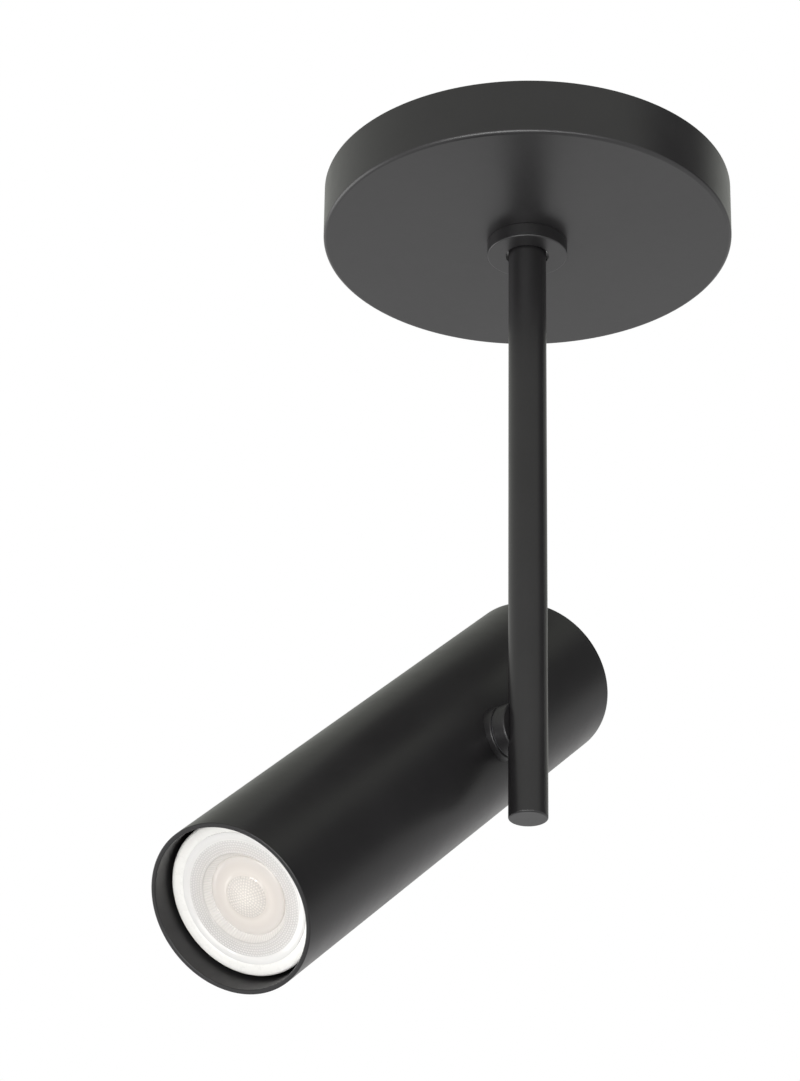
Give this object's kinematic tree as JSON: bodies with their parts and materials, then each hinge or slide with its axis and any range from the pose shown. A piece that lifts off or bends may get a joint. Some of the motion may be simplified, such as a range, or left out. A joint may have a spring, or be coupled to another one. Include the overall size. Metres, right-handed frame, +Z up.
{
  "type": "surface mounted ceiling spotlight",
  "caption": "Ceiling spotlight: a round canopy carries a thin swivelling stem, and a tubular head with a recessed reflector lamp tilts on a side pivot near its foot.",
  "frame": {"origin": "centre of the mounting plane, where the canopy's rim and the bracket's ends meet the ceiling", "axes": "+Z up, out of the ceiling side; the tilt axis is parallel to X, the head hangs on the -X side of the stem and points to -Y, 41 degrees down"},
  "size_m": [0.138, 0.1867, 0.3036],
  "materials": {
    "black_satin": "satin",
    "zinc_steel": "satin",
    "spring_steel": "satin",
    "brass": "satin",
    "green_screw": "satin",
    "bearing_plastic": "matte",
    "terminal_plastic": "satin",
    "green_lead": "satin",
    "lamp_cable": "matte",
    "grommet_rubber": "matte",
    "white_ceramic": "satin",
    "lamp_white": "gloss",
    "lamp_clear": "gloss",
    "board_white": "satin",
    "pin_metal": "polished"
  },
  "bodies": {
    "mount": {"canopy": "black_satin", "mounting_bracket": "zinc_steel", "swivel_housing": "zinc_steel", "housing_screws": "zinc_steel", "swivel_stop_pin": "zinc_steel", "swivel_washer": "bearing_plastic", "swivel_spring": "spring_steel", "canopy_collar": "black_satin", "terminal_block": "terminal_plastic", "terminal_screws": "brass", "ground_screw": "green_screw", "ground_lug": "brass", "ground_lead": "green_lead", "canopy_cable": "lamp_cable"},
    "stem": {"stem_tube": "black_satin", "stem_top_bush": "brass", "stem_end_plug": "black_satin", "pivot_boss": "black_satin", "tilt_stop_pin": "zinc_steel", "friction_washer": "bearing_plastic", "pivot_spring": "spring_steel", "pivot_nut": "zinc_steel", "stem_cable": "lamp_cable"},
    "head": {"head_tube": "black_satin", "tube_saddle": "black_satin", "inner_saddle": "zinc_steel", "rear_cap": "black_satin", "holder_carrier": "zinc_steel", "cable_grommet": "grommet_rubber", "lampholder": "white_ceramic", "lamp_contacts": "brass", "holder_screws": "zinc_steel", "head_cable": "lamp_cable"},
    "lamp": {"lamp_body": "lamp_white", "lamp_lens": "lamp_clear", "led_board": "board_white", "lamp_pins": "pin_metal"}
  },
  "joints": [
    {"name": "stem_swivel", "type": "hinge", "parent": "mount", "child": "stem", "pos_m": [0, 0, -0.0164], "axis": [0, 0, 1], "range_deg": [-165, 165]},
    {"name": "head_tilt", "type": "hinge", "parent": "stem", "child": "head", "pos_m": [-0.0084, 0, -0.199], "axis": [1, 0, 0], "range_deg": [-41, 49]},
    {"name": "lamp_twist", "type": "hinge", "parent": "head", "child": "lamp", "pos_m": [-0.038, -0.05577, -0.24748], "axis": [0, -0.7547, -0.6561], "range_deg": [0, 30]}
  ]
}
